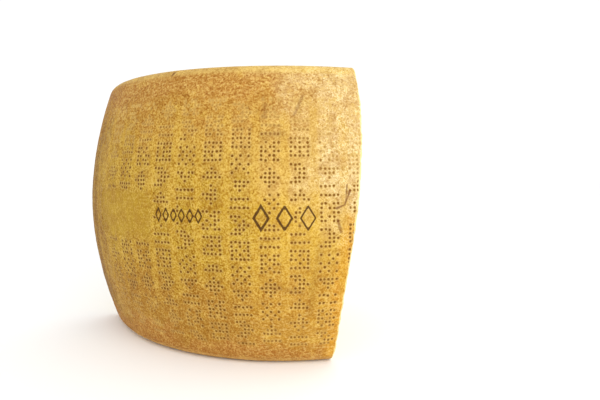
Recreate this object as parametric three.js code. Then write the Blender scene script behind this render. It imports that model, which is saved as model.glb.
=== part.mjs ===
// A quarter of a wheel of aged hard cheese, standing on its flat bottom face as it is cut.
// The side is the bulging rind of the wheel. The two cut faces meet at the wheel's axis.
// Along its top edge each cut face is scored with a knife and broken off in shallow bites.
// Millimetres, +Z up. The rind faces -Y, and the wheel's axis stands parallel to Z.

import * as THREE from 'three';
import { mergeVertices } from 'three/addons/utils/BufferGeometryUtils.js';

// The wheel that the piece was cut from.
const WHEEL_HEIGHT = 230;
const WHEEL_RADIUS = 202; // at the fullest part of its side
const RIM_INSET = 22.5; // how much narrower the side is at the top and bottom rims
const BULGE_POWER = 1.88; // 2 would be a parabola: a little flatter rims, a rounder middle
const RIM_ROUNDING = 8;

// Where the wheel's axis stands, so that the origin is the centre of the piece's footprint box.
const AXIS_X = -0.7;
const AXIS_Y = 99.7;

// Each cut is a nearly upright plane through the axis. Seen from outside, face 0 is the right one.
const CUTS = [
  { lean: 9.7, sway: -1.5, seed: 3 },
  { lean: 3.0, sway: 1.2, seed: 11 },
];
const QUARTER = Math.PI / 2;

// Relief of a cut face: the grainy paste breaks in low swells, and its inner corner crumbles.
const SWELL_HEIGHT = 1.5;
const SWELL_LENGTH = 48;
const RIPPLE_HEIGHT = 0.6;
const RIPPLE_LENGTH = 19;
const CORNER_CRUMBLE = 3.5;
const CORNER_REACH = 7;
const RIND_CALM = 26; // swells and bites die out this close to the rind

// The scored band along the top edge, and the bites that broke away below it.
const SCORE_DEPTH = 9; // below the top edge
const SCORE_RECESS = 2.4; // behind the face
const BITE_RECESS = 4.4;
const BITE_ROUGHNESS = 1.4;
const BITE_GRAIN = 9; // size of the lumps inside a bite
const BITE_RAMP = 5; // height over which the face steps back
const BITE_SPAN = [15, 42]; // narrowest and widest bite, along the edge
const BITE_DROP = [4, 15]; // how far bites reach below the scored band

// How finely the surface is divided.
const SIDE_STEP = 7.6;
const BAND_STEP = 3.2;
const BAND_HEIGHT = 30;
const ROUNDING_STEPS = 3;
const FACE_COLUMNS = 40;
const RIND_COLUMNS = 26;

const clamp = THREE.MathUtils.clamp;
const lerp = THREE.MathUtils.lerp;
const smoothstep = THREE.MathUtils.smoothstep;

// A repeatable number from 0 to 1 for each lattice point of a seed.
function lattice(i, j, seed) {
  const mixed = Math.sin(i * 127.1 + j * 311.7 + seed * 74.7) * 43758.5453;
  return mixed - Math.floor(mixed);
}

// Smooth noise from -1 to 1 with features about one unit across.
function noise(x, y, seed) {
  const i = Math.floor(x);
  const j = Math.floor(y);
  const fx = smoothstep(x - i, 0, 1);
  const fy = smoothstep(y - j, 0, 1);
  const near = lerp(lattice(i, j, seed), lattice(i + 1, j, seed), fx);
  const far = lerp(lattice(i, j + 1, seed), lattice(i + 1, j + 1, seed), fx);
  return 2 * lerp(near, far, fy) - 1;
}

// Radius of the wheel's side at a height, with the rounded rims taken off.
function sideRadius(z) {
  const fromMiddle = Math.abs(z / WHEEL_HEIGHT - 0.5) / 0.5;
  const body = WHEEL_RADIUS - RIM_INSET * fromMiddle ** BULGE_POWER;
  const intoRim = clamp(RIM_ROUNDING - Math.min(z, WHEEL_HEIGHT - z), 0, RIM_ROUNDING);
  return body - RIM_ROUNDING + Math.sqrt(RIM_ROUNDING ** 2 - intoRim ** 2);
}

// Heights of the rows of vertices, from the bottom face to the top face.
function rowHeights() {
  const rounding = [];
  for (let k = 0; k < ROUNDING_STEPS; k += 1) {
    rounding.push(RIM_ROUNDING * (1 - Math.cos((k / ROUNDING_STEPS) * QUARTER)));
  }
  const heights = [...rounding];
  const bandFoot = WHEEL_HEIGHT - BAND_HEIGHT;
  const sideRows = Math.round((bandFoot - RIM_ROUNDING) / SIDE_STEP);
  for (let k = 0; k < sideRows; k += 1) {
    heights.push(lerp(RIM_ROUNDING, bandFoot, k / sideRows));
  }
  const bandRows = Math.round((BAND_HEIGHT - RIM_ROUNDING) / BAND_STEP);
  for (let k = 0; k <= bandRows; k += 1) {
    heights.push(lerp(bandFoot, WHEEL_HEIGHT - RIM_ROUNDING, k / bandRows));
  }
  return [...heights, ...rounding.reverse().map((z) => WHEEL_HEIGHT - z)];
}

// The bites of one face, side by side from the rind to the inner corner.
function bitesOf(seed) {
  const bites = [];
  let outer = WHEEL_RADIUS;
  for (let k = 0; outer > 0; k += 1) {
    const span = lerp(...BITE_SPAN, lattice(k, 1, seed));
    const drop = lerp(...BITE_DROP, lattice(k, 2, seed) ** 2);
    bites.push({ middle: outer - span / 2, half: span / 2, drop });
    outer -= span;
  }
  return bites;
}

// How far below the top edge the broken band reaches, at a distance u from the axis.
function bandDepth(u, bites) {
  let depth = SCORE_DEPTH + BITE_DROP[0] / 2;
  for (const { middle, half, drop } of bites) {
    const across = Math.abs(u - middle) / half;
    if (across < 1) depth = Math.max(depth, SCORE_DEPTH + drop * Math.sqrt(1 - across ** 2));
  }
  return depth;
}

// How far the face stands out from its plane at a distance u from the axis and a height z.
function relief(u, z, cut) {
  const inward = clamp((sideRadius(z) - u) / RIND_CALM, 0, 1);
  const swell = SWELL_HEIGHT * noise(u / SWELL_LENGTH, z / SWELL_LENGTH, cut.seed);
  const ripple = RIPPLE_HEIGHT * noise(u / RIPPLE_LENGTH, z / RIPPLE_LENGTH, cut.seed + 1);
  const crumble = CORNER_CRUMBLE * Math.exp(-Math.max(u, 0) / CORNER_REACH);
  const fromTop = WHEEL_HEIGHT - z;
  const depth = bandDepth(u, cut.bites);
  const broken = 1 - smoothstep(fromTop, depth - BITE_RAMP, depth);
  const scored = 1 - smoothstep(fromTop, SCORE_DEPTH - BITE_RAMP, SCORE_DEPTH);
  const lump = BITE_ROUGHNESS * noise(u / BITE_GRAIN, z / BITE_GRAIN, cut.seed + 2);
  const recess = lerp(SCORE_RECESS, BITE_RECESS + lump, inward * (1 - scored));
  return lerp(inward * (swell + ripple), -recess, broken) - crumble;
}

// How far a cut's surface stands outside the ideal plane through the axis.
function offset(u, z, cut) {
  const height = z / WHEEL_HEIGHT;
  const plane = cut.lean * (2 * height - 1) + cut.sway * Math.sin(2 * Math.PI * height);
  return plane + relief(u, z, cut);
}

// Directions from the axis along the two faces, and the way each face looks.
const along = [
  new THREE.Vector2(Math.SQRT1_2, -Math.SQRT1_2),
  new THREE.Vector2(-Math.SQRT1_2, -Math.SQRT1_2),
];
const outward = [along[1].clone().negate(), along[0].clone().negate()];

// The point of one face at a distance u from the axis, standing out by a given amount.
function facePoint(side, u, out, z) {
  const flat = outward[side].clone().multiplyScalar(out).addScaledVector(along[side], u);
  return new THREE.Vector3(AXIS_X + flat.x, AXIS_Y + flat.y, z);
}

// One row of a face, from the inner corner to the rind.
function faceRow(side, z) {
  const inner = -offset(0, z, CUTS[1 - side]);
  const reach = sideRadius(z);
  const edge = offset(reach, z, CUTS[side]);
  const outer = Math.sqrt(reach ** 2 - edge ** 2);
  const row = [];
  for (let k = 0; k <= FACE_COLUMNS; k += 1) {
    const t = k / FACE_COLUMNS;
    const u = lerp(inner, outer, t);
    const out = offset(lerp(0, reach, t), z, CUTS[side]);
    row.push(facePoint(side, u, out, z));
  }
  return row;
}

// One row of the rind, from the left face (1) round to the right face (0).
function rindRow(z) {
  const reach = sideRadius(z);
  const half = CUTS.map((cut) => QUARTER / 2 + Math.asin(offset(reach, z, cut) / reach));
  const row = [];
  for (let k = 0; k <= RIND_COLUMNS; k += 1) {
    const turn = lerp(-half[1], half[0], k / RIND_COLUMNS);
    row.push(new THREE.Vector3(AXIS_X + reach * Math.sin(turn), AXIS_Y - reach * Math.cos(turn), z));
  }
  return row;
}

// Triangles between neighbouring rows. Rows run to the right as seen from outside, and rise.
function addRows(triangles, rows) {
  for (let j = 0; j + 1 < rows.length; j += 1) {
    for (let k = 0; k + 1 < rows[j].length; k += 1) {
      const [a, b] = [rows[j][k], rows[j][k + 1]];
      const [d, c] = [rows[j + 1][k], rows[j + 1][k + 1]];
      if ((j + k) % 2 === 0) triangles.push([a, b, c], [a, c, d]);
      else triangles.push([a, b, d], [b, c, d]);
    }
  }
}

// A flat lid, fanned from its middle to an outline that runs anticlockwise as seen from above.
function addLid(triangles, outline, looksUp) {
  const middle = new THREE.Vector3();
  for (const point of outline) middle.addScaledVector(point, 1 / outline.length);
  outline.forEach((point, k) => {
    const next = outline[(k + 1) % outline.length];
    triangles.push(looksUp ? [middle, point, next] : [middle, next, point]);
  });
}

function chunkGeometry() {
  for (const cut of CUTS) cut.bites = bitesOf(cut.seed);
  const heights = rowHeights();
  const rightFace = heights.map((z) => faceRow(0, z).reverse());
  const leftFace = heights.map((z) => faceRow(1, z));
  const rind = heights.map(rindRow);
  const triangles = [];
  addRows(triangles, rind);
  addRows(triangles, rightFace);
  addRows(triangles, leftFace);
  for (const end of [0, heights.length - 1]) {
    const outline = [
      ...rind[end].slice(0, -1),
      ...rightFace[end].slice(0, -1),
      ...leftFace[end].slice(0, -1),
    ];
    addLid(triangles, outline, end > 0);
  }
  const points = triangles.flat();
  return mergeVertices(new THREE.BufferGeometry().setFromPoints(points), 1e-3);
}

const cheese = new THREE.MeshStandardMaterial({ color: 0xdcae58, roughness: 0.75, metalness: 0 });
const chunk = new THREE.Mesh(chunkGeometry(), cheese);
chunk.name = 'parmesan_chunk';

const group = new THREE.Group();
group.add(chunk);

export default group;
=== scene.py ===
# %% [markdown]
# A quarter of a wheel of aged hard cheese, dressed for a product photograph.
# The solid model fixes the size and the place of the piece. This lesson gives it its looks:
# the punched, brushed rind, the grainy paste of the two cuts, and the studio round it.
# Lengths are in millimetres, and one factor, MM, turns them into Blender's metres.

import math
from functools import partial

import bmesh
import bpy
import numpy as np
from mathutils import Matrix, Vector


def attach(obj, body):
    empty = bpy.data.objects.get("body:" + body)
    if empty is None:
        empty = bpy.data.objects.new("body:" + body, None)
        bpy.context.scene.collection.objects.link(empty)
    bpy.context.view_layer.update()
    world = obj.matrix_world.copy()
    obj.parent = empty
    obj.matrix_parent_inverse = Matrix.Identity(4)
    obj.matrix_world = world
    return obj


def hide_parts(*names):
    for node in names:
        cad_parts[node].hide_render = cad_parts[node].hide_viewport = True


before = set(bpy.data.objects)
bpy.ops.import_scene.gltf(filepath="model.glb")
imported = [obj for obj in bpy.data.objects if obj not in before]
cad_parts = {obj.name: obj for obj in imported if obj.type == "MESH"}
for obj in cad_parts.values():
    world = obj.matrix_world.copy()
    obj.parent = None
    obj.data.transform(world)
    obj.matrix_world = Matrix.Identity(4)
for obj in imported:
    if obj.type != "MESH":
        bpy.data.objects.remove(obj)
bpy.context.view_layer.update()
MM = 0.001

# %% [markdown]
# The wheel is a short barrel. Its side bulges because the young cheese sags in its mould, and
# its rims are rounded by handling. One formula gives the radius at any height, so that the
# rind, the cuts and the marks all lie on the same surface.

# %% The wheel that the piece was cut from
WHEEL_HEIGHT = 230.0
WHEEL_RADIUS = 202.0
RIM_INSET = 22.5
BULGE_POWER = 1.88
RIM_ROUNDING = 8.0
AXIS_X = -0.7
AXIS_Y = 99.7
QUARTER = math.pi / 2


def side_radius(z):
    """Radius of the wheel's side at a height, with the rounded rims taken off."""
    from_middle = np.abs(z / WHEEL_HEIGHT - 0.5) / 0.5
    body = WHEEL_RADIUS - RIM_INSET * from_middle**BULGE_POWER
    into_rim = np.clip(RIM_ROUNDING - np.minimum(z, WHEEL_HEIGHT - z), 0, RIM_ROUNDING)
    return body - RIM_ROUNDING + np.sqrt(RIM_ROUNDING**2 - into_rim**2)


print("rim radius, mm:", round(float(side_radius(np.array(0.0))), 1))

# %% [markdown]
# The camera stands close, a little above the middle of the rind, and looks slightly down. So
# near a piece this large the rims curve strongly. From further off, with a longer lens, they
# would look flatter.

# %% The camera
EYE_DISTANCE = 544.0  # from the wheel's axis
EYE_HEIGHT = 159.0
EYE_TURN = math.radians(30.2)  # to the right of the middle of the rind
AIM_RIGHT = 15.1  # the view's centre passes the axis this far to the right
AIM_HEIGHT = 113.6
LENS_MM = 28.96
SENSOR_MM = 36.0

to_eye = Vector((math.sin(EYE_TURN), -math.cos(EYE_TURN), 0))
to_right = Vector((math.cos(EYE_TURN), math.sin(EYE_TURN), 0))
axis_foot = Vector((AXIS_X, AXIS_Y, 0))
eye = axis_foot + to_eye * EYE_DISTANCE + Vector((0, 0, EYE_HEIGHT))
aim = axis_foot + to_right * AIM_RIGHT + Vector((0, 0, AIM_HEIGHT))
camera = bpy.data.objects.new("camera", bpy.data.cameras.new("camera"))
camera.location = eye * MM
camera.rotation_euler = (aim - eye).to_track_quat("-Z", "Y").to_euler()
camera.data.lens = LENS_MM
camera.data.sensor_width = SENSOR_MM
bpy.context.scene.collection.objects.link(camera)
bpy.context.scene.camera = camera
bpy.context.scene.view_settings.view_transform = "Standard"
print("camera, m:", [round(x, 3) for x in camera.location])

# %% [markdown]
# Colours are chosen as sRGB hex values, as on a screen, and one function turns them into the
# linear numbers that light adds up in. One more function adds a shader node, sets it up and
# links what feeds it, so that every material below reads from top to bottom.


# %% Colours and shader nodes
def colour(code):
    """An sRGB hex value as linear red, green, blue and alpha."""
    parts = [int(code[k : k + 2], 16) / 255 for k in (1, 3, 5)]
    return [c / 12.92 if c < 0.04045 else ((c + 0.055) / 1.055) ** 2.4 for c in parts] + [1.0]


def add(tree, kind, inputs=None, **settings):
    """A new shader node with its settings, and its inputs set or linked."""
    node = tree.nodes.new("ShaderNode" + kind)
    for name, value in settings.items():
        setattr(node, name, value)
    for key, value in (inputs or {}).items():
        if isinstance(value, bpy.types.Node):
            value = value.outputs[0]
        if isinstance(value, bpy.types.NodeSocket):
            tree.links.new(value, node.inputs[key])
        else:
            node.inputs[key].default_value = value
    return node


def new_material(name):
    """An empty material and its node tree."""
    material = bpy.data.materials.new(name)
    material.use_nodes = True
    material.node_tree.nodes.clear()
    return material, material.node_tree


print("gold as linear numbers:", [round(c, 3) for c in colour("#CDA043")])

# %% [markdown]
# The studio is a pale floor under a white sky, with one large soft light to the right. The sky
# alone gives every side about the same light. The soft light adds over half as much again at
# the right end of the rind and less than a tenth at the left, and that shows the bulge.

# %% Floor, sky and light
FLOOR_HALF = 4000.0
FLOOR_DROP = 0.2  # below the piece, so that the two faces don't share one plane

floor_mesh = bpy.data.meshes.new("floor")
corners = [(-1, -1), (1, -1), (1, 1), (-1, 1)]
floor_mesh.from_pydata(
    [(x * FLOOR_HALF * MM, y * FLOOR_HALF * MM, -FLOOR_DROP * MM) for x, y in corners],
    [],
    [(0, 1, 2, 3)],
)
floor = bpy.data.objects.new("floor", floor_mesh)
bpy.context.scene.collection.objects.link(floor)
paper, tree = new_material("white_studio_paper")
surface = add(tree, "BsdfPrincipled", {"Base Color": colour("#FBFBFA"), "Roughness": 0.9})
add(tree, "OutputMaterial", {"Surface": surface})
floor_mesh.materials.append(paper)

world = bpy.data.worlds.new("studio")
bpy.context.scene.world = world
world.use_nodes = True
world.node_tree.nodes.clear()
sky = add(world.node_tree, "Background", {"Color": colour("#FFFFFF"), "Strength": 1.06})
add(world.node_tree, "OutputWorld", {"Surface": sky})


def soft_light(name, turn, distance, height, size, power):
    """A square area light round the piece, aimed at its middle. Turn 0 is in front of the rind."""
    light = bpy.data.objects.new(name, bpy.data.lights.new(name, "AREA"))
    light.data.size = size * MM
    light.data.energy = power
    away = Vector((math.sin(turn), -math.cos(turn), 0)) * distance
    place = away + Vector((0, 0, height))
    light.location = place * MM
    target = Vector((0, 0, WHEEL_HEIGHT / 2))
    light.rotation_euler = (target - place).to_track_quat("-Z", "Y").to_euler()
    bpy.context.scene.collection.objects.link(light)
    return light


key = soft_light("key_light", math.radians(62), 900, 520, 700, 4.3)
print("key light, W:", key.data.energy)

# %% [markdown]
# Hand-made surfaces need noise that is the same on every run. Each lattice point gets a
# repeatable number, and smooth steps between them make swells, ripples and grain at whatever
# size in millimetres a surface asks for.


# %% Repeatable noise
def lattice(i, j, seed):
    """A repeatable number from 0 to 1 for each lattice point."""
    mixed = np.sin(i * 127.1 + j * 311.7 + seed * 74.7) * 43758.5453
    return mixed - np.floor(mixed)


def step_up(x, low, high):
    """0 below low, 1 above high, and smooth between."""
    t = np.clip((x - low) / (high - low), 0, 1)
    return t * t * (3 - 2 * t)


def blend(a, b, t):
    return a + (b - a) * t


def noise(x, y, seed):
    """Smooth noise from -1 to 1 with features about one unit across."""
    i, j = np.floor(x), np.floor(y)
    fx, fy = step_up(x - i, 0, 1), step_up(y - j, 0, 1)
    near = blend(lattice(i, j, seed), lattice(i + 1, j, seed), fx)
    far = blend(lattice(i, j + 1, seed), lattice(i + 1, j + 1, seed), fx)
    return 2 * blend(near, far, fy) - 1


def grain(x, y, size, seed, layers=3):
    """Noise of a size in millimetres with finer and weaker layers on top."""
    total = 0
    for k in range(layers):
        total = total + noise(x / size * 2**k, y / size * 2**k, seed + 5 * k) / 2**k
    return total


# %% [markdown]
# A wheel of hard cheese is never sliced. The cutter scores its crust with a short hooked
# knife, then pushes in blunt wedges until it splits, so a cut face has two parts: a scored
# band along the top edge with bites broken out under it, and the grainy break below. The
# forms repeat those of the solid model, and finer crumbs are added here.

# %% The two cuts
CUTS = [
    {"lean": 9.7, "sway": -1.5, "seed": 3},
    {"lean": 3.0, "sway": 1.2, "seed": 11},
]
SWELL_HEIGHT, SWELL_LENGTH = 1.5, 48.0
RIPPLE_HEIGHT, RIPPLE_LENGTH = 0.6, 19.0
CORNER_CRUMBLE, CORNER_REACH = 3.5, 7.0
RIND_CALM = 26.0
SCORE_DEPTH, SCORE_RECESS = 9.0, 2.4
BITE_RECESS, BITE_ROUGHNESS, BITE_GRAIN, BITE_RAMP = 4.4, 1.4, 9.0, 5.0
BITE_SPAN, BITE_DROP = (15.0, 42.0), (4.0, 15.0)


def bites_of(seed):
    """The bites of one face, side by side from the rind to the inner corner."""
    bites, outer, k = [], WHEEL_RADIUS, 0
    while outer > 0:
        span = blend(*BITE_SPAN, lattice(k, 1, seed))
        drop = blend(*BITE_DROP, lattice(k, 2, seed) ** 2)
        bites.append((outer - span / 2, span / 2, drop))
        outer -= span
        k += 1
    return bites


def band_depth(u, bites):
    """How far below the top edge the broken band reaches, at a distance u from the axis."""
    depth = np.full_like(u, SCORE_DEPTH + BITE_DROP[0] / 2)
    for middle, half, drop in bites:
        across = np.clip(np.abs(u - middle) / half, 0, 1)
        bite = np.where(across < 1, SCORE_DEPTH + drop * np.sqrt(1 - across**2), 0)
        depth = np.maximum(depth, bite)
    return depth


CRUMB_HEIGHT, CRUMB_SIZE = 0.35, 4.5  # the loose grain of the break
BITE_CRUMB, BITE_CRUMB_SIZE = 0.8, 3.4  # the finer lumps inside a bite
EDGE_NICK, EDGE_NICK_SIZE = 0.7, 6.0  # how raggedly the rind breaks along the cut
BAND_RAG, BAND_RAG_SIZE = 2.4, 7.0  # how ragged the borders of the broken band are
SHOULDER = (196.0, 222.0)  # between these heights the rind's edge eases back to the scored band


def face_marks(u, z, cut):
    """Two masks from 0 to 1: what has broken away below the top edge, and what is scored."""
    from_top = WHEEL_HEIGHT - z
    ragged = BAND_RAG * grain(u, z, BAND_RAG_SIZE, cut["seed"] + 30, 3)
    depth = band_depth(u, cut["bites"])
    broken = 1 - step_up(from_top, depth - BITE_RAMP * 0.6 + ragged, depth + ragged)
    scored = 1 - step_up(from_top + 0.5 * ragged, SCORE_DEPTH - BITE_RAMP, SCORE_DEPTH)
    return broken, scored


def offset(u, z, cut):
    """How far a cut's surface stands outside the ideal plane through the axis."""
    height = z / WHEEL_HEIGHT
    plane = cut["lean"] * (2 * height - 1) + cut["sway"] * np.sin(2 * np.pi * height)
    inward = np.clip((side_radius(z) - u) / RIND_CALM, 0, 1)
    seed = cut["seed"]
    swell = SWELL_HEIGHT * noise(u / SWELL_LENGTH, z / SWELL_LENGTH, seed)
    ripple = RIPPLE_HEIGHT * noise(u / RIPPLE_LENGTH, z / RIPPLE_LENGTH, seed + 1)
    crumble = CORNER_CRUMBLE * np.exp(-np.maximum(u, 0) / CORNER_REACH)
    broken, scored = face_marks(u, z, cut)
    broken = np.maximum(broken, (1 - inward) * step_up(z, *SHOULDER))
    lump = BITE_ROUGHNESS * noise(u / BITE_GRAIN, z / BITE_GRAIN, seed + 2)
    lump = lump + BITE_CRUMB * grain(u, z, BITE_CRUMB_SIZE, seed + 40, 2)
    recess = blend(SCORE_RECESS, BITE_RECESS + lump, inward * (1 - scored))
    crumbs = CRUMB_HEIGHT * grain(u, z, CRUMB_SIZE, seed + 50) * (1 - 0.6 * scored)
    nick = EDGE_NICK * (1 - inward) * np.minimum(grain(u + 40, z, EDGE_NICK_SIZE, seed + 60), 0)
    return plane + blend(inward * (swell + ripple), -recess, broken) - crumble + crumbs + nick


for cut in CUTS:
    cut["bites"] = bites_of(cut["seed"])
print("bites along each cut:", [len(cut["bites"]) for cut in CUTS])

# %% [markdown]
# While it is soft, the young wheel stands inside a plastic band studded with pins, which
# leaves a belt of dots all round its side. Here the dots make plain ornaments: lozenges,
# triangles, bars, checks, waffles, bricks and zigzags, on a square lattice, in upright
# columns. A few dots are left out, as if worn away.

# %% The punched ornament
DOT_PITCH = 3.13
DOT_RADIUS = 1.14
DOT_DEPTH = 0.7
DOT_WANDER = 0.5  # the range of each dot's random offset, both ways
CELLS = 7  # cells across a column: half a gap, five dots and half a gap
COLUMN_PITCH = CELLS * DOT_PITCH
FIRST_COLUMN = 6.5  # along the side, from the middle of the rind
LOWEST_ROW = 18.0
ROWS = 60
START_ROWS = 8  # a column skips up to this many rows, so that the motifs don't line up
WORN_SHARE = 0.05
MOTIFS = {
    "lozenge": ["..#..", ".###.", "#####", ".###.", "..#.."],
    "bars": ["#####", ".....", "#####"],
    "checks": ["#.#.#", ".#.#.", "#.#.#", ".#.#.", "#.#.#"],
    "rising": ["..#..", ".###.", "#####"],
    "falling": ["#####", ".###.", "..#.."],
    "zigzag": ["###..", ".###.", "..###", ".###.", "###.."],
    "waffle": ["#####", "#.#.#", "#####", "#.#.#", "#####"],
    "bricks": ["##.##", "#.##.", "##.##", "#.##.", "##.##"],
}
SEQUENCES = [
    ["lozenge", "bars", "waffle", "zigzag", "rising"],
    ["zigzag", "checks", "falling", "bars", "bricks"],
    ["waffle", "rising", "lozenge", "bricks"],
    ["bars", "zigzag", "waffle", "checks", "falling"],
    ["bricks", "lozenge", "checks", "rising", "bars"],
]


def punched_rows(column):
    """The dots of one column as rows of five, from the top down, with a gap after each motif."""
    sequence = SEQUENCES[column % len(SEQUENCES)]
    rows, k = [], 3 * column
    while len(rows) < ROWS + START_ROWS:
        rows += MOTIFS[sequence[k % len(sequence)]] + ["....."]
        k += 1
    start = column * 5 % START_ROWS
    return rows[start : start + ROWS]


columns = range(-8, 8)
LATTICE_START = FIRST_COLUMN + (columns[0] - 0.5) * COLUMN_PITCH
punched = np.zeros((len(columns) * CELLS, ROWS), bool)
for n, column in enumerate(columns):
    for row, dots in enumerate(punched_rows(column)):
        first = CELLS * n + 1
        punched[first : first + len(dots), ROWS - 1 - row] = [dot == "#" for dot in dots]
print("lattice", punched.shape, "dots:", int(punched.sum()))

# %% [markdown]
# Three places break the belt: a smooth patch where the wheel's blank plate sat, and two spots
# where a hot stamp burned a chain of outlined lozenges. A stamp is stored as the distance to
# its outline, which stays crisp on a coarser mesh than its lines need.

# %% Smooth patches and stamped chains
STAMPS = [
    {"middle": (22.3, 117.6), "count": 6, "half": (2.6, 5.0), "pitch": 7.2},
    {"middle": (105.0, 117.3), "count": 3, "half": (5.4, 8.6), "pitch": 17.0},
]
STAMP_DEPTH = 0.5
STAMP_MARGIN = 2.4  # no dot stands nearer to a stamped line
STAMP_LINES = [(0, 0.55), (60, 0.55), (84, 0.95), (126, 0.6)]  # place along the side, half width
PLATE_MIDDLE, PLATE_HALF, PLATE_CORNER = (-42.5, 116.0), (37.0, 17.5), 6.0
PLATE_MARGIN = 3.0
PLATE_DEPTH = 0.35
OFF_THE_STAMPS = 9.0  # stands for any distance larger than this


def lozenge_distance(x, y, half_x, half_y):
    """Signed distance to the outline of an upright lozenge."""
    beyond = np.abs(x) / half_x + np.abs(y) / half_y - 1
    return beyond * half_x * half_y / math.hypot(half_x, half_y)


def stamp_distance(s, z):
    """Signed distance to the stamped outlines: exact near one, and merely large further off."""
    nearest = np.full_like(s, OFF_THE_STAMPS)
    for stamp in STAMPS:
        for k in range(stamp["count"]):
            x = s - stamp["middle"][0] - (k - (stamp["count"] - 1) / 2) * stamp["pitch"]
            y = z - stamp["middle"][1]
            nearest = np.minimum(nearest, lozenge_distance(x, y, *stamp["half"]))
    return nearest


def stamp_line(s):
    """Half the width of a stamped line. The stamp was pressed harder at one end."""
    return np.interp(s, *zip(*STAMP_LINES))


def plate_distance(s, z):
    """Signed distance to the rounded outline of the blank plate."""
    qx = np.abs(s - PLATE_MIDDLE[0]) - PLATE_HALF[0] + PLATE_CORNER
    qy = np.abs(z - PLATE_MIDDLE[1]) - PLATE_HALF[1] + PLATE_CORNER
    outside = np.hypot(np.maximum(qx, 0), np.maximum(qy, 0))
    return outside + np.minimum(np.maximum(qx, qy), 0) - PLATE_CORNER


def pigment(s, z):
    """How much brown settled in the marks: less high up, at the foot and left of the plate."""
    slope = 0.3 * np.maximum(-s, 0)
    top = blend(1.0, 0.42, step_up(z + slope, 158, 200)) * (1 - step_up(z + slope, 198, 214))
    side = blend(0.42, 1.0, step_up(s, -95, -35)) - 0.12 * step_up(s, 80, 105)
    side = side + 0.45 * step_up(-s, 100, 128)
    foot = 1 - 0.4 * (1 - step_up(z, 22, 75)) * (1 - step_up(s, -20, 50))
    low = blend(0.8, 1, step_up(z, 25, 60))
    pale_corner = 1 - 0.45 * step_up(s, 118, 146) * step_up(z, 130, 165)
    return np.clip(top * side * foot * low * pale_corner, 0, 1)


def punch_at(s, z):
    """The dot of each point's cell: its offset sideways and upwards, its strength, how far off."""
    i = np.floor((s - LATTICE_START) / DOT_PITCH).astype(int)
    j = np.round((z - LOWEST_ROW) / DOT_PITCH).astype(int)
    inside = (i >= 0) & (i < punched.shape[0]) & (j >= 0) & (j < ROWS)
    there = punched[np.clip(i, 0, punched.shape[0] - 1), np.clip(j, 0, ROWS - 1)] & inside
    centre_s = LATTICE_START + (i + 0.5) * DOT_PITCH
    centre_z = LOWEST_ROW + j * DOT_PITCH
    on_stamp = stamp_distance(centre_s, centre_z) < STAMP_MARGIN
    on_plate = plate_distance(centre_s, centre_z) < PLATE_MARGIN
    worn_off = lattice(i, j, 21) < WORN_SHARE
    stays = there & ~on_stamp & ~on_plate & ~worn_off
    strength = np.where(stays, 0.72 + 0.28 * lattice(i, j, 22), 0)
    shift_s = DOT_WANDER * (lattice(i, j, 23) - 0.5)
    shift_z = DOT_WANDER * (lattice(i, j, 24) - 0.5)
    away = np.hypot(s - centre_s - shift_s, z - centre_z - shift_z)
    return shift_s, shift_z, strength, away


# %% [markdown]
# The mesh of the rind follows the lattice, with a vertex on each of its points and two between
# neighbours, so each dot is a real pit. Between the columns the steps are wider. Every vertex
# also carries what the shader will need: its place on the side, its dot's offset and strength,
# how far off the stamps and the plate are, and how brown the marks are there.

# %% The rind's lines
HALF_ARC = WHEEL_RADIUS * QUARTER / 2
FINE_STEP = DOT_PITCH / 3
GAP_STEPS, RIM_STEPS, FOOT_STEPS, HEAD_STEPS = 5, 5, 5, 15
WARP_BAND = 20.0  # beside each cut the mesh stretches to follow its lean
EDGE_CLEAR = 0.6  # no other line stands nearer to a cut


def arc_lines():
    """Places along the side, in millimetres from the middle of the rind."""
    half = 2 * DOT_PITCH + FINE_STEP  # from a column's middle to just past its last dot
    gap = (COLUMN_PITCH - 2 * half) / GAP_STEPS
    period = [k * FINE_STEP for k in range(-7, 8)] + [half + k * gap for k in range(1, GAP_STEPS)]
    lines = [FIRST_COLUMN + COLUMN_PITCH * c + step for c in columns for step in period]
    inside = [s for s in lines if abs(s) < HALF_ARC - EDGE_CLEAR]
    return np.array([-HALF_ARC] + inside + [HALF_ARC])


def height_lines():
    """Heights of the rows, from the base to the top."""
    turn = np.linspace(0, QUARTER, RIM_STEPS + 1)
    rounding = RIM_ROUNDING * (1 - np.cos(turn))
    top_row = LOWEST_ROW + DOT_PITCH * (ROWS - 1)
    foot = np.linspace(RIM_ROUNDING, LOWEST_ROW, FOOT_STEPS + 1)
    belt = LOWEST_ROW + FINE_STEP * np.arange(3 * (ROWS - 1))
    head = np.linspace(top_row, WHEEL_HEIGHT - RIM_ROUNDING, HEAD_STEPS + 1)
    top = WHEEL_HEIGHT - rounding[::-1]
    return np.concatenate([rounding[:-1], foot[:-1], belt, head[:-1], top])


arcs, heights = arc_lines(), height_lines()
print("rind grid:", len(arcs), "x", len(heights))

# %% [markdown]
# Vertices are gathered in one list, with their attributes beside them. A patch is a grid of
# vertex numbers, and a zip joins two neighbouring lines whose steps differ. The patches share
# the numbers along their borders, so the finished piece is one closed skin.

# %% Collecting vertices and faces
places, facts, quads, triangles = [], [], [], []


def add_points(points, place, punch, finish):
    """Adds an array of points with three vectors of facts each, and returns their numbers."""
    first = sum(len(block) for block in places)
    shape = points.shape[:-1]
    places.append(points.reshape(-1, 3))
    flat = [np.broadcast_to(value, shape).reshape(-1) for value in (*place, *punch, *finish)]
    facts.append(np.stack(flat, -1))
    return np.arange(first, first + len(places[-1])).reshape(shape)


def add_grid(ids, material):
    """Four-sided faces between neighbouring rows and columns of vertex numbers."""
    faces = np.stack([ids[:-1, :-1], ids[1:, :-1], ids[1:, 1:], ids[:-1, 1:]], -1).reshape(-1, 4)
    quads.append(np.column_stack([faces, np.full(len(faces), material)]))


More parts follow.
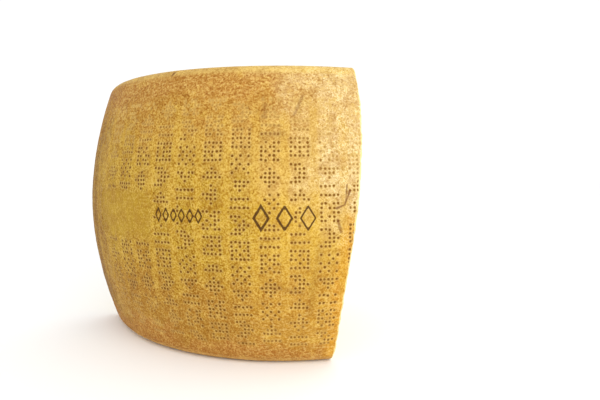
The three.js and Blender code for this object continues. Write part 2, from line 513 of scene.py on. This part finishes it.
def add_zip(line_a, at_a, line_b, at_b, material):
    """Triangles between two lines of vertex numbers that run side by side."""
    i = j = 0
    while i < len(line_a) - 1 or j < len(line_b) - 1:
        next_a = at_a[i + 1] if i < len(line_a) - 1 else math.inf
        next_b = at_b[j + 1] if j < len(line_b) - 1 else math.inf
        if next_a <= next_b:
            triangles.append((line_a[i], line_a[i + 1], line_b[j], material))
            i += 1
        else:
            triangles.append((line_a[i], line_b[j + 1], line_b[j], material))
            j += 1


RIND, PASTE = 0, 1
NO_DOT = (0, 0, 0)

# %% [markdown]
# The rind is brushed and turned for months, which leaves it gently dented and finely grained.
# All relief goes inwards from the wheel's true surface, so the piece never outgrows the solid.

# %% The rind
DENT_DEPTH, DENT_SIZE = 0.5, 42.0
WRINKLE_DEPTH, WRINKLE_SIZE = 0.22, 5.0
EDGE_BEVEL, EDGE_BEVEL_WIDTH = 0.9, 1.4
PIT_WALL, PIT_END = 1.5, 1.25  # the wall's width in dot radii, and how many widths out it ends
LINE_WALL, LINE_END = 1.3, 1.4  # the same for a stamped line, in halves of the line's width


def rind_depth(s, z):
    """How far the rind lies inside the wheel's true surface."""
    _, _, strength, away = punch_at(s, z)
    dents = DENT_DEPTH * (0.5 + 0.5 * np.clip(grain(s, z, DENT_SIZE, 70, 2), -1, 1))
    wrinkles = WRINKLE_DEPTH * np.abs(grain(s, z, WRINKLE_SIZE, 75))
    pits = DOT_DEPTH * strength * np.clip(PIT_END - away / (PIT_WALL * DOT_RADIUS), 0, 1)
    from_line = np.abs(stamp_distance(s, z)) / (LINE_WALL * stamp_line(s))
    lines = STAMP_DEPTH * np.clip(LINE_END - from_line, 0, 1)
    plate = PLATE_DEPTH * (1 - step_up(plate_distance(s, z), -0.8, 0.8))
    return dents + wrinkles + pits + lines + plate


S, Z = np.meshgrid(arcs, heights, indexing="ij")
reach = side_radius(Z)
limit = [QUARTER / 2 + np.arcsin(offset(reach, Z, cut) / reach) for cut in CUTS]
near_right = step_up(S, HALF_ARC - WARP_BAND, HALF_ARC)
near_left = step_up(-S, HALF_ARC - WARP_BAND, HALF_ARC)
turn = S / WHEEL_RADIUS + near_right * (limit[0] - QUARTER / 2)
turn = turn - near_left * (limit[1] - QUARTER / 2)
S_true = turn * WHEEL_RADIUS
from_cut = np.minimum(limit[0] - turn, turn + limit[1]) * WHEEL_RADIUS
bevel = EDGE_BEVEL * np.clip(1 - from_cut / EDGE_BEVEL_WIDTH, 0, 1) ** 2
radius = reach - rind_depth(S_true, Z) - bevel
points = np.stack([AXIS_X + radius * np.sin(turn), AXIS_Y - radius * np.cos(turn), Z], -1)

shift_s, shift_z, strength, _ = punch_at(S_true, Z)
half_lines_off = stamp_distance(S_true, Z) / stamp_line(S_true)
rind_ids = add_points(
    points,
    (S_true, Z, from_cut),
    (shift_s, shift_z, strength),
    (half_lines_off, pigment(S_true, Z), plate_distance(S_true, Z)),
)
add_grid(rind_ids, RIND)
print("rind vertices:", rind_ids.size)

# %% [markdown]
# Each cut face runs from the inner corner to the rind. Between its foot and the bites its rows
# are twice as far apart as the rind's, because its grain is coarser, and a zip of triangles
# joins the two spacings.

# %% The cut faces
FACE_STEPS = 120
FINE_ABOVE = 190.0  # the bites need every row
spread = [k for k, z in enumerate(heights) if not LOWEST_ROW < z < FINE_ABOVE or k % 2 == 0]
coarse = np.array(spread)
along = np.array([[1, -1], [-1, -1]]) * math.sqrt(0.5)
outward = -along[::-1]
U_SHARE = np.linspace(0, 1, FACE_STEPS + 1)[:-1]


def face_points(side, share, z):
    """Points of one face at a share of the way from the inner corner to the rind."""
    reach = side_radius(z)
    inner = -offset(np.zeros_like(z), z, CUTS[1 - side])
    edge = offset(reach, z, CUTS[side])
    outer = np.sqrt(reach**2 - edge**2)
    u = blend(inner, outer, share)
    out = offset(share * reach, z, CUTS[side])
    flat = out[..., None] * outward[side] + u[..., None] * along[side]
    return np.stack([AXIS_X + flat[..., 0], AXIS_Y + flat[..., 1], z], -1), share * reach


corner_ids = None
top_rows, base_rows = [], []
for side, cut in enumerate(CUTS):
    share, z = np.meshgrid(U_SHARE, heights[coarse], indexing="ij")
    points, u = face_points(side, share, z)
    broken, scored = face_marks(u, z, cut)
    from_rind = np.minimum(side_radius(z) - u, np.minimum(z, WHEEL_HEIGHT - z))
    ids = add_points(points, (u, z, from_rind), NO_DOT, (broken, scored, 0))
    if corner_ids is None:
        corner_ids = ids[0].copy()
    ids[0] = corner_ids
    add_grid(ids, PASTE)
    border = rind_ids[-1] if side == 0 else rind_ids[0]
    add_zip(ids[-1], heights[coarse], border, heights, PASTE)
    top_rows.append(np.append(ids[:, -1], border[-1]))
    base_rows.append(np.append(ids[:, 0], border[0]))
print("face grid:", len(U_SHARE), "x", len(coarse))

# %% [markdown]
# The top and the base are rind too. Rings shrink from the border to the middle, and each of the
# first three drops every second vertex, because a nearly flat face needs few.

# %% Top and base
RINGS = [0.985, 0.955, 0.9, 0.8, 0.66, 0.5, 0.34, 0.18]
TOP_DISH = 1.2  # the top sinks a little towards its middle
DISH_RIPPLE, DISH_RIPPLE_SIZE = 0.3, 30.0  # a share of the dish, and millimetres
SPARSEST = 8  # the inner rings keep one vertex in this many
FAR_FROM_CUT = 99
NO_MARKS = (OFF_THE_STAMPS, 0, 9)  # far from the stamps and the plate, and no brown


def add_lid(rind_row, face_rows, z, dish):
    """Rings of faces inside the loop of one row of the rind and the ends of both cuts."""
    line = np.concatenate([rind_row[:-1], face_rows[0][::-1][:-1], face_rows[1][:-1]])
    known = np.concatenate(places)
    loop = known[line]
    middle = loop.mean(0)
    at = np.arange(len(line) + 1)
    outer, outer_at = np.append(line, line[0]), at
    for k, share in enumerate(RINGS):
        keep = np.arange(0, len(line), min(2 ** (k + 1), SPARSEST))
        ring = middle + (loop[keep] - middle) * share
        x, y = ring[:, 0], ring[:, 1]
        ripple = DISH_RIPPLE * np.abs(grain(x, y, DISH_RIPPLE_SIZE, 90))
        ring[:, 2] = z - dish * (1 - share**2) - dish * ripple
        s = np.arctan2(x - AXIS_X, AXIS_Y - y) * WHEEL_RADIUS
        ids = add_points(ring, (s, z, FAR_FROM_CUT), NO_DOT, NO_MARKS)
        inner, inner_at = np.append(ids, ids[0]), np.append(at[keep], at[-1])
        add_zip(outer, outer_at, inner, inner_at, RIND)
        outer, outer_at = inner, inner_at
    centre = add_points(middle[None] - [0, 0, dish], (0, z, FAR_FROM_CUT), NO_DOT, NO_MARKS)
    for a, b in zip(outer[:-1], outer[1:]):
        triangles.append((a, b, centre[0], RIND))


add_lid(rind_ids[:, -1], top_rows, WHEEL_HEIGHT, TOP_DISH)
add_lid(rind_ids[:, 0], base_rows, 0.0, 0.0)
print("triangles in zips and lids:", len(triangles))

# %% [markdown]
# The lists become one mesh. Its faces are turned to look outwards, and the edge where rind
# meets paste is kept sharp, as a fresh break is.

# %% One closed skin
mesh = bpy.data.meshes.new("aged_cheese_quarter")
quad_array = np.concatenate(quads)
triangle_array = np.array(triangles)
faces = quad_array[:, :4].tolist() + triangle_array[:, :3].tolist()
mesh.from_pydata((np.concatenate(places) * MM).tolist(), [], faces)
worn_by = np.concatenate([quad_array[:, 4], triangle_array[:, 3]]).astype(np.int32)
mesh.polygons.foreach_set("material_index", worn_by)
fact_array = np.concatenate(facts).astype(np.float32)
for k, name in enumerate(("place", "punch", "finish")):
    attribute = mesh.attributes.new(name, "FLOAT_VECTOR", "POINT")
    vectors = np.ascontiguousarray(fact_array[:, 3 * k : 3 * k + 3])
    attribute.data.foreach_set("vector", vectors.ravel())

shell = bmesh.new()
shell.from_mesh(mesh)
bmesh.ops.recalc_face_normals(shell, faces=shell.faces)
for edge in shell.edges:
    borders = {face.material_index for face in edge.link_faces}
    edge.smooth = len(borders) == 1
open_edges = sum(len(edge.link_faces) != 2 for edge in shell.edges)
volume = shell.calc_volume() * 1000
shell.to_mesh(mesh)
shell.free()
mesh.polygons.foreach_set("use_smooth", np.ones(len(mesh.polygons), bool))
chunk = bpy.data.objects.new("parmesan_quarter", mesh)
bpy.context.scene.collection.objects.link(chunk)
print("faces:", len(mesh.polygons), "open edges:", open_edges, "litres:", round(volume, 2))

# %% [markdown]
# The rind is the dried, oiled skin of the cheese, turned golden by months of air and brushing.
# To the eye it is satin and finely flecked: olive gold in the middle, amber towards both rims,
# russet at the foot. A pale cream patch high up by the right cut is a painted highlight, and so
# are pale lines along both rounded rims; the left end is painted darker and the right end
# lighter, as painted shade and light from the right. It is drawn as zones along the side and up
# it, whose borders wander with noise of about 40 mm. Its gloss is kept low, because a white sky
# in a glossy skin would wash the gold out.

# %% Brushed natural rind: its zones
rind_material, tree = new_material("brushed_natural_rind")
n = partial(add, tree)
place = n("SeparateXYZ", {0: n("Attribute", attribute_name="place").outputs["Vector"]})
punch = n("SeparateXYZ", {0: n("Attribute", attribute_name="punch").outputs["Vector"]})
finish = n("SeparateXYZ", {0: n("Attribute", attribute_name="finish").outputs["Vector"]})
along_side, height, to_cut = place.outputs
stamp_at, brown_here, plate_at = finish.outputs
body = n("TexCoord").outputs["Object"]


def mm_scale(size):
    """Noise scale for features of a size in millimetres, as the shader works in metres."""
    return 1000 / size


clouds = n("TexNoise", {"Vector": body, "Scale": mm_scale(42), "Detail": 3, "Roughness": 0.6})
mottle = n("TexNoise", {"Vector": body, "Scale": mm_scale(9), "Detail": 3, "Roughness": 0.6})
flecks = n("TexNoise", {"Vector": body, "Scale": mm_scale(2.3), "Detail": 2, "Distortion": 0.5})
fine_grain = n("TexNoise", {"Vector": body, "Scale": mm_scale(1.4), "Detail": 1})
MIDDLE = {"From Min": 0.3, "From Max": 0.7}  # where nearly all values of a noise lie
wander = n("MapRange", {"Value": clouds, **MIDDLE, "To Min": -16, "To Max": 16})
side_w = n("Math", {0: along_side, 1: wander}, operation="ADD")
height_w = n("Math", {0: height, 1: wander}, operation="ADD")


def zone(value, start, full, strength=1.0):
    """A mask that rises smoothly from 0 at start to its full strength, in millimetres."""
    inputs = {"Value": value, "From Min": start, "From Max": full, "To Max": strength}
    return n("MapRange", inputs, interpolation_type="SMOOTHSTEP")


def both(mask_a, mask_b):
    return n("Math", {0: mask_a, 1: mask_b}, operation="MULTIPLY")


def tint(under, mask, code):
    """Lays a colour over another through a mask."""
    return n("MixRGB", {"Fac": mask, "Color1": under, "Color2": colour(code)})


# Painted shade and painted light: the base grows darker towards the left end and lighter towards the
# right end, as light from the right would leave it.
base = tint(colour("#B08C28"), zone(side_w, -50, -125), "#8C6618")
base = tint(base, zone(side_w, -106, -130), "#86621A")
base = tint(base, zone(side_w, 65, 105, 0.8), "#CCA440")
tan_belt = both(zone(height_w, 128, 150), zone(height_w, 206, 178))
base = tint(base, zone(height_w, 160, 200), "#AC7A2D")
base = tint(base, zone(height_w, 100, 50), "#A67627")
base = tint(base, both(zone(side_w, 60, 100), zone(height_w, 95, 50)), "#BA8A30")
# Painted shade: darker still low down on the left.
base = tint(base, both(zone(side_w, -50, -130), zone(height_w, 110, 50)), "#7A5214")
base = tint(base, zone(side_w, -128, -150, 0.85), "#A8802C")
base = tint(base, both(zone(side_w, 35, 85, 0.55), tan_belt), "#C49E60")
base = tint(base, both(zone(side_w, -35, 5, 0.25), tan_belt), "#CCA858")
base = tint(base, zone(height_w, 198, 212, 0.8), "#AA7334")
base = tint(base, zone(height_w, 30, 14, 0.9), "#AA7032")
# Painted highlight: a pale cream patch high up by the right cut, where the soft light's sheen falls.
highlight_at = n("Math", {0: height_w, 1: 0.3, 2: side_w}, operation="MULTIPLY_ADD")
painted_highlight = both(zone(highlight_at, 142, 204), zone(height_w, 84, 135))
base = tint(base, painted_highlight, "#CFB47E")
amber_belt = both(zone(height_w, 162, 182, 0.3), zone(height_w, 214, 202))
base = tint(base, both(amber_belt, zone(side_w, 32, 55)), "#AE7A30")
base = tint(base, both(zone(to_cut, 14, 6), zone(height_w, 122, 104)), "#CC922C")
# Painted highlights: pale lines along the rounded top rim, brighter towards the right, and along the
# rounded foot, where the rims would catch the light.
base = tint(base, zone(height, 222, 226, 0.8), "#D0B064")
base = tint(base, both(zone(height, 221, 225, 0.8), zone(side_w, 60, 120)), "#DEC070")
base = tint(base, zone(height, 6.5, 3.5, 0.9), "#D2A460")
print("rind zones done:", len(tree.nodes), "nodes")

# %% [markdown]
# Within the zones the skin is blotched at about 9 mm and flecked at about 2 mm. A fleck is a
# short worm of pale, dried skin, and such worms are the level lines of a smooth noise: where
# the noise is close to its middle value. They turn brighter cream inside the painted highlight
# high up by the right cut, with tan patches among them there, and they thin out on the smooth
# plate. The gaps between the columns of dots are a little lighter. Under the top rim and low on
# the right lie short, level dashes.
# Near both rims and on the right the dark grain is weaker.

# %% Blotches and flecks
def darken(under, mask, code):
    """Multiplies a colour by another through a mask."""
    return n("MixRGB", {"Fac": mask, "Color1": under, "Color2": colour(code)}, blend_type="MULTIPLY")


blotch = n("MapRange", {"Value": mottle, "From Min": 0.42, "From Max": 0.66, "To Max": 0.45})
base = tint(base, blotch, "#9C6C26")
light_blotch = n("MapRange", {"Value": mottle, "From Min": 0.44, "From Max": 0.3, "To Max": 0.35})
base = tint(base, light_blotch, "#C8A545")
cell_s = n("Math", {0: along_side, 1: LATTICE_START}, operation="SUBTRACT")
from_gap = n("Math", {0: cell_s, 1: COLUMN_PITCH / 2}, operation="PINGPONG")
gap_wander = n("MapRange", {"Value": mottle, **MIDDLE, "To Min": -1.5, "To Max": 1.5})
from_gap = n("Math", {0: from_gap, 1: gap_wander}, operation="ADD")
dotted_belt = both(zone(height_w, 40, 70), zone(height_w, 200, 180))
gap_light = both(zone(from_gap, 4.6, 2.2, 0.35), dotted_belt)
gap_light = both(gap_light, zone(plate_at, 0, 4))
base = tint(base, gap_light, "#C9A23A")

level = n("Math", {0: flecks, 1: 0.5}, operation="SUBTRACT")
level = n("Math", {0: level}, operation="ABSOLUTE")
worms = n("MapRange", {"Value": level, "From Min": 0.055, "From Max": 0.015, "To Max": 0.48})
worm_field = n("MapRange", {"Value": mottle, "From Min": 0.58, "From Max": 0.44, "To Min": 0.35})
off_plate = n("Math", {0: zone(plate_at, -1.5, 1.5, 0.65), 1: 0.35}, operation="ADD")
worms = both(both(worms, worm_field), off_plate)
base = tint(base, worms, "#DCBB66")
# Brighter cream worms and tan patches inside the painted highlight.
base = tint(base, both(worms, painted_highlight), "#F6E8C2")
tan = n("MapRange", {"Value": mottle, "From Min": 0.48, "From Max": 0.64, "To Max": 0.2})
base = tint(base, both(tan, painted_highlight), "#B4843E")
side_point = n("CombineXYZ", {"X": along_side, "Y": height})
dash_at = n("VectorMath", {0: side_point, 1: (0.4, 1.0, 1.0)}, operation="MULTIPLY")
dashes = n("TexNoise", {"Vector": dash_at, "Scale": 1 / 1.7, "Detail": 1})
dash = n("MapRange", {"Value": dashes, "From Min": 0.54, "From Max": 0.66, "To Max": 0.45})
under_top = both(zone(height_w, 198, 210), both(zone(side_w, -95, -60), zone(height, 227, 221)))
low_right = both(zone(side_w, 50, 90), zone(height_w, 70, 40))
dash_here = n("Math", {0: under_top, 1: low_right}, operation="MAXIMUM")
base = tint(base, both(dash, dash_here), "#DDBB72")

near_foot, near_top = zone(height_w, 60, 30, 0.45), zone(height_w, 190, 210, 0.3)
calm = n("Math", {0: near_foot, 1: near_top}, operation="MAXIMUM")
calm = n("Math", {0: calm, 1: zone(side_w, 80, 110, 0.3)}, operation="MAXIMUM")
dark_here = n("Math", {0: off_plate, 1: calm}, operation="SUBTRACT", use_clamp=True)
dark_fleck = n("MapRange", {"Value": flecks, "From Min": 0.47, "From Max": 0.33, "To Max": 0.68})
base = darken(base, both(dark_fleck, dark_here), "#D0BA80")
light_grain = n("MapRange", {"Value": fine_grain, "From Min": 0.52, "From Max": 0.66, "To Max": 0.3})
base = tint(base, light_grain, "#DDBD6C")
dark_grain = n("MapRange", {"Value": fine_grain, "From Min": 0.49, "From Max": 0.35, "To Max": 0.68})
base = darken(base, both(dark_grain, dark_here), "#D2B87C")
# Painted shade: the finished skin, flecks and all, is darkened towards the left end.
base = darken(base, zone(side_w, -60, -130), "#F0E8DA")

# %% [markdown]
# A dot is dark because dust and oil settle in its pit. Its outline comes from the lattice, not
# from the mesh: the shader finds the nearest lattice point, moves it by the dot's own offset,
# and darkens what lies within the dot's radius, as strongly as the brown that its vertices
# carry says. The lip of a pit gets a pale ring, a painted highlight where light catches the
# pit's edge, except at the far left. A stamped line is charred to a darker brown.

# %% Brown in the dots and the stamps
cell_z = n("Math", {0: height, 1: DOT_PITCH / 2 - LOWEST_ROW}, operation="ADD")
cells = n("CombineXYZ", {"X": cell_s, "Y": cell_z})
in_cell = n("VectorMath", {0: cells, 1: (DOT_PITCH, DOT_PITCH, 1)}, operation="MODULO")
dot_shift = n("CombineXYZ", {"X": punch.outputs["X"], "Y": punch.outputs["Y"]})
half_cell = (DOT_PITCH / 2, DOT_PITCH / 2, 0)
dot_at = n("VectorMath", {0: dot_shift, 1: half_cell}, operation="ADD")
away = n("VectorMath", {0: in_cell, 1: dot_at}, operation="DISTANCE").outputs["Value"]
ragged = n("MapRange", {"Value": flecks, **MIDDLE, "To Min": -0.2, "To Max": 0.2})
away = n("Math", {0: away, 1: ragged}, operation="ADD")
strength = punch.outputs["Z"]
brown = both(strength, brown_here)
# Painted highlight: a pale ring on the lip of each pit, where light would catch its edge.
lip_highlight_here = both(strength, zone(along_side, -112, -62, 0.48))
lip_highlight = n("MapRange", {"Value": away, "From Min": DOT_RADIUS + 0.75, "From Max": DOT_RADIUS + 0.1})
base = tint(base, both(lip_highlight, lip_highlight_here), "#DFC072")
dot = n("MapRange", {"Value": away, "From Min": DOT_RADIUS + 0.35, "From Max": DOT_RADIUS - 0.5})
dirt = tint(colour("#9C6820"), brown_here, "#6E4408")
dot_here = n("MapRange", {"Value": brown, "From Min": 0.02, "From Max": 0.72})
base = n("MixRGB", {"Fac": both(dot, dot_here), "Color1": base, "Color2": dirt})

line = n("Math", {0: stamp_at}, operation="ABSOLUTE")
line = n("Math", {0: ragged, 1: 0.8, 2: line}, operation="MULTIPLY_ADD")
char = n("MapRange", {"Value": line, "From Min": 1.3, "From Max": 0.75, "To Max": 0.92})
base = tint(base, char, "#472A12")

# %% [markdown]
# Handling leaves a few cracks and scratches near the cut, a nick on the top rim and some
# soft smears. Each is a straight segment, given by its two ends on the unrolled side, half its
# width and its darkness, and the shader darkens what lies close to it. Along the cut itself
# the rind shows its pale broken edge as a thin line.

# %% Scratches, smears and the pale broken edge
SCRATCHES = [
    ((142.9, 124.0), (149.0, 126.5), 0.65, 0.8),
    ((149.0, 126.5), (153.1, 136.4), 0.65, 0.85),
    ((149.9, 129.9), (151.0, 140.9), 0.45, 0.7),
    ((143.9, 115.5), (146.4, 107.0), 0.8, 0.6),
    ((112.3, 191.0), (119.2, 205.5), 0.8, 0.45),
    ((89.0, 190.0), (89.8, 198.0), 1.5, 0.35),
    ((88.0, 176.0), (103.5, 177.5), 1.9, 0.25),
    ((2.5, 225.5), (3.0, 226.5), 1.0, 0.85),
    ((131.0, 96.0), (124.0, 44.0), 2.4, 0.2),
    ((97.0, 66.0), (118.0, 61.0), 1.8, 0.25),
    ((-30.0, 70.0), (-44.0, 44.0), 2.2, 0.25),
]
shaky = n("MapRange", {"Value": mottle, **MIDDLE, "To Min": -0.6, "To Max": 0.9})
scratches = 0.0
for start, end, half_width, darkness in SCRATCHES:
    run = (end[0] - start[0], end[1] - start[1], 0)
    from_start = n("VectorMath", {0: side_point, 1: (*start, 0)}, operation="SUBTRACT")
    share = n("VectorMath", {0: from_start, 1: run}, operation="DOT_PRODUCT").outputs["Value"]
    share = n("Math", {0: share, 1: run[0] ** 2 + run[1] ** 2}, operation="DIVIDE", use_clamp=True)
    nearest = n("VectorMath", {0: run, "Scale": share}, operation="SCALE")
    gap = n("VectorMath", {0: from_start, 1: nearest}, operation="DISTANCE").outputs["Value"]
    gap = n("Math", {0: shaky, 1: half_width, 2: gap}, operation="MULTIPLY_ADD")
    one = zone(gap, 2.4 * half_width, 0.5 * half_width, darkness)
    scratches = n("Math", {0: scratches, 1: one}, operation="MAXIMUM")
base = tint(base, scratches, "#70421F")

edge_wobble = n("MapRange", {"Value": mottle, **MIDDLE, "To Min": -0.5, "To Max": 0.7})
edge_at = n("Math", {0: to_cut, 1: edge_wobble}, operation="ADD")
base = tint(base, zone(edge_at, 1.7, 0.9, 0.9), "#E8D394")

grain_height = n("Math", {0: mottle, 1: 0.8}, operation="MULTIPLY")
grain_height = n("Math", {0: grain_height, 1: flecks}, operation="ADD")
bump = n("Bump", {"Height": grain_height, "Strength": 0.5, "Distance": 0.6 * MM})
rough = n("MapRange", {"Value": flecks, **MIDDLE, "To Min": 0.5, "To Max": 0.65})
skin = n(
    "BsdfPrincipled",
    {
        "Base Color": base,
        "Roughness": rough,
        "IOR": 1.45,
        "Specular IOR Level": 0.08,
        "Normal": bump,
    },
)
n("OutputMaterial", {"Surface": skin})
print("rind nodes:", len(tree.nodes))

# %% [markdown]
# The paste of an old hard cheese is a dense, dry crumb. To the eye it is matt: golden straw in
# the middle and paler towards the rind, with a greyish, grainy fringe of about 15 mm and a
# thin bright line where the rind begins. White crystals up to 2.5 mm across are scattered
# through it, thicker in some places than in others, and so are short pale streaks.

# %% Aged grainy paste
paste_material, tree = new_material("aged_grainy_paste")
n = partial(add, tree)
place = n("SeparateXYZ", {0: n("Attribute", attribute_name="place").outputs["Vector"]})
finish = n("SeparateXYZ", {0: n("Attribute", attribute_name="finish").outputs["Vector"]})
along_face, height, under_rind = place.outputs
broken, scored = finish.outputs["X"], finish.outputs["Y"]
body = n("TexCoord").outputs["Object"]

clouds = n("TexNoise", {"Vector": body, "Scale": mm_scale(50), "Detail": 3, "Roughness": 0.55})
crumbs = n("TexNoise", {"Vector": body, "Scale": mm_scale(3.4), "Detail": 4, "Roughness": 0.65})
dust = n("TexNoise", {"Vector": body, "Scale": mm_scale(1.5), "Detail": 1})
wander = n("MapRange", {"Value": clouds, **MIDDLE, "To Min": -14, "To Max": 14})
depth_w = n("Math", {0: under_rind, 1: wander}, operation="ADD")
base = tint(colour("#E1BF66"), zone(depth_w, 88, 30), "#E9D188")
base = tint(base, zone(depth_w, 34, 14), "#EDDAA0")
small_wander = n("Math", {0: wander, 1: 0.3}, operation="MULTIPLY")
fringe_w = n("Math", {0: under_rind, 1: small_wander}, operation="ADD")
base = tint(base, zone(fringe_w, 19, 9, 0.8), "#E8D9A9")
speck = n("MapRange", {"Value": crumbs, "From Min": 0.48, "From Max": 0.64, "To Max": 0.35})
base = tint(base, speck, "#D9B65E")
grey_grain = n("MapRange", {"Value": dust, "From Min": 0.5, "From Max": 0.62, "To Max": 0.4})
base = tint(base, both(grey_grain, zone(fringe_w, 17, 11)), "#CDBB90")

cells = n("TexVoronoi", {"Vector": body, "Scale": mm_scale(5.5), "Randomness": 1.0})
thick = n("TexNoise", {"Vector": body, "Scale": mm_scale(16), "Detail": 1})
crystal_size = n("MapRange", {"Value": thick, "From Min": 0.42, "From Max": 0.68, "To Max": 0.24})
crystal = n("Math", {0: crystal_size, 1: cells.outputs["Distance"]}, operation="SUBTRACT")
crystal = n("MapRange", {"Value": crystal, "From Min": -0.03, "From Max": 0.05, "To Max": 0.75})
base = tint(base, crystal, "#F8EDC0")

# %% [markdown]
# Where the wedges tore the crust off, the paste whitens. Above that, the knife dragged through
# the rim of the wheel and left a band of brownish gold with upright streaks.

# %% Streaks, bites and the scored band
leaning = n("Mapping", {"Vector": body, "Rotation": (0.5, 0.4, 0.3), "Scale": (1.0, 1.0, 0.25)})
streaks = n("TexNoise", {"Vector": leaning, "Scale": mm_scale(3.0), "Detail": 2})
streak = n("MapRange", {"Value": streaks, "From Min": 0.64, "From Max": 0.72, "To Max": 0.5})
base = tint(base, streak, "#F4E5AE")

white_break = n("MapRange", {"Value": crumbs, "From Min": 0.56, "From Max": 0.42, "To Min": 0.35})
base = tint(base, both(white_break, broken), "#F3E7BC")
brown_crumb = n("MapRange", {"Value": crumbs, "From Min": 0.54, "From Max": 0.64, "To Max": 0.7})
base = tint(base, both(brown_crumb, broken), "#CFAF74")
upright = n("Mapping", {"Vector": body, "Scale": (1.0, 1.0, 0.15)})
drag = n("TexNoise", {"Vector": upright, "Scale": mm_scale(2.6), "Detail": 3})
drag = n("MapRange", {"Value": drag, "From Min": 0.35, "From Max": 0.65})
drag_colour = tint(tint(colour("#B98F4A"), drag, "#DDC58A"), zone(height, 226, 229.5, 0.5), "#C39A48")
scored_here = n("Math", {0: scored, 1: 0.9}, operation="MULTIPLY")
base = n("MixRGB", {"Fac": scored_here, "Color1": base, "Color2": drag_colour})
rim = n("Math", {0: 1.0, 1: scored}, operation="SUBTRACT")
base = tint(base, both(zone(under_rind, 2.4, 1.2, 0.85), rim), "#EFD777")

crumb_height = n("Math", {0: crystal, 1: 0.4}, operation="MULTIPLY")
crumb_height = n("Math", {0: crumb_height, 1: crumbs}, operation="ADD")
bump = n("Bump", {"Height": crumb_height, "Strength": 0.7, "Distance": 1.0 * MM})
crumb = n(
    "BsdfPrincipled",
    {
        "Base Color": base,
        "Roughness": 0.72,
        "IOR": 1.45,
        "Specular IOR Level": 0.3,
        "Normal": bump,
    },
)
n("OutputMaterial", {"Surface": crumb})
print("paste nodes:", len(tree.nodes))

# %% [markdown]
# The dressed mesh takes the place of the plain solid, which stays behind it for collision.
# It has to stay inside the solid's box.

# %% Hand the piece over
mesh.materials.append(rind_material)
mesh.materials.append(paste_material)
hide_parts("parmesan_chunk")
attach(chunk, "root")
